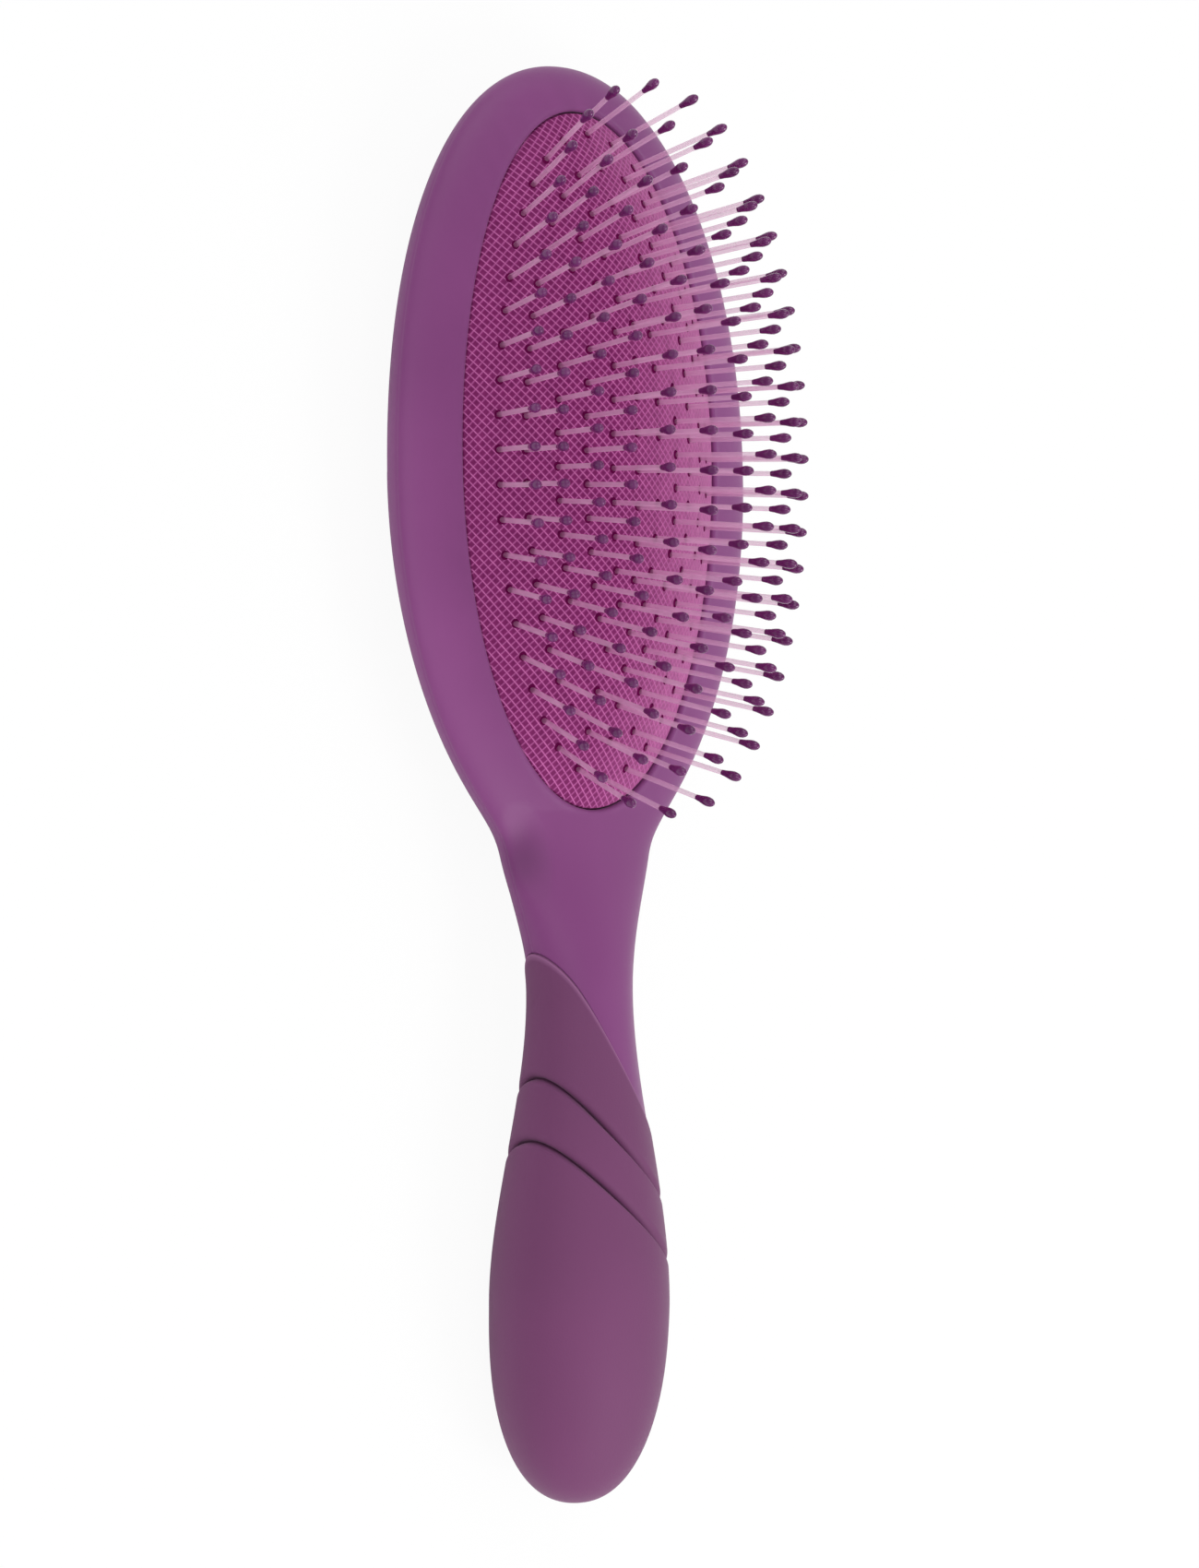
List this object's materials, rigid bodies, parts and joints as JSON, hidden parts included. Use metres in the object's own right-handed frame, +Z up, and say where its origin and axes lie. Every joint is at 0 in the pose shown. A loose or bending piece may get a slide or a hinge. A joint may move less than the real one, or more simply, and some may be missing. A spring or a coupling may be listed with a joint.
{
  "type": "detangling hair brush",
  "caption": "Oval cushion hair brush with a net-faced pad, long tipped bristles and a soft sleeved handle with slanting grooves.",
  "frame": {"origin": "middle of the brush's length and width, on the surface it lies on", "axes": "+X along the brush to the head end, +Y across the brush, +Z up out of the bristle face"},
  "size_m": [0.229, 0.075, 0.0464],
  "materials": {
    "body_plastic": "satin, slightly translucent purple",
    "ring_plastic": "satin",
    "cushion_rubber": "satin",
    "net_facing": "fine diagonal net",
    "grip_rubber": "soft matt",
    "bristle_nylon": "translucent nylon",
    "tip_resin": "glossy, slightly translucent"
  },
  "bodies": {
    "root_body": {"front_frame": "body_plastic", "back_shell": "body_plastic", "pad_clamp_ring": "ring_plastic", "grip_sleeve": "grip_rubber"},
    "cushion": {"cushion_pad": "cushion_rubber", "net_margin": "net_facing", "bristles_oval_1_head": "bristle_nylon", "bristles_oval_1_handle": "bristle_nylon", "bristles_oval_2_head": "bristle_nylon", "bristles_oval_2_handle": "bristle_nylon", "bristles_oval_3_head": "bristle_nylon", "bristles_oval_3_handle": "bristle_nylon", "bristles_oval_4_head": "bristle_nylon", "bristles_oval_4_handle": "bristle_nylon", "bristles_middle_head": "bristle_nylon", "bristles_middle_handle": "bristle_nylon", "tips_oval_1_head": "tip_resin", "tips_oval_1_handle": "tip_resin", "tips_oval_2_head": "tip_resin", "tips_oval_2_handle": "tip_resin", "tips_oval_3_head": "tip_resin", "tips_oval_3_handle": "tip_resin", "tips_oval_4_head": "tip_resin", "tips_oval_4_handle": "tip_resin", "tips_middle_head": "tip_resin", "tips_middle_handle": "tip_resin"}
  },
  "joints": [
    {"name": "cushion_press", "type": "slide", "parent": "root_body", "child": "cushion", "axis": [0, 0, -1], "range_m": [0, 0.003], "stiffness_N_per_m": 3000, "deforming": ["cushion_pad", "net_margin"]}
  ]
}
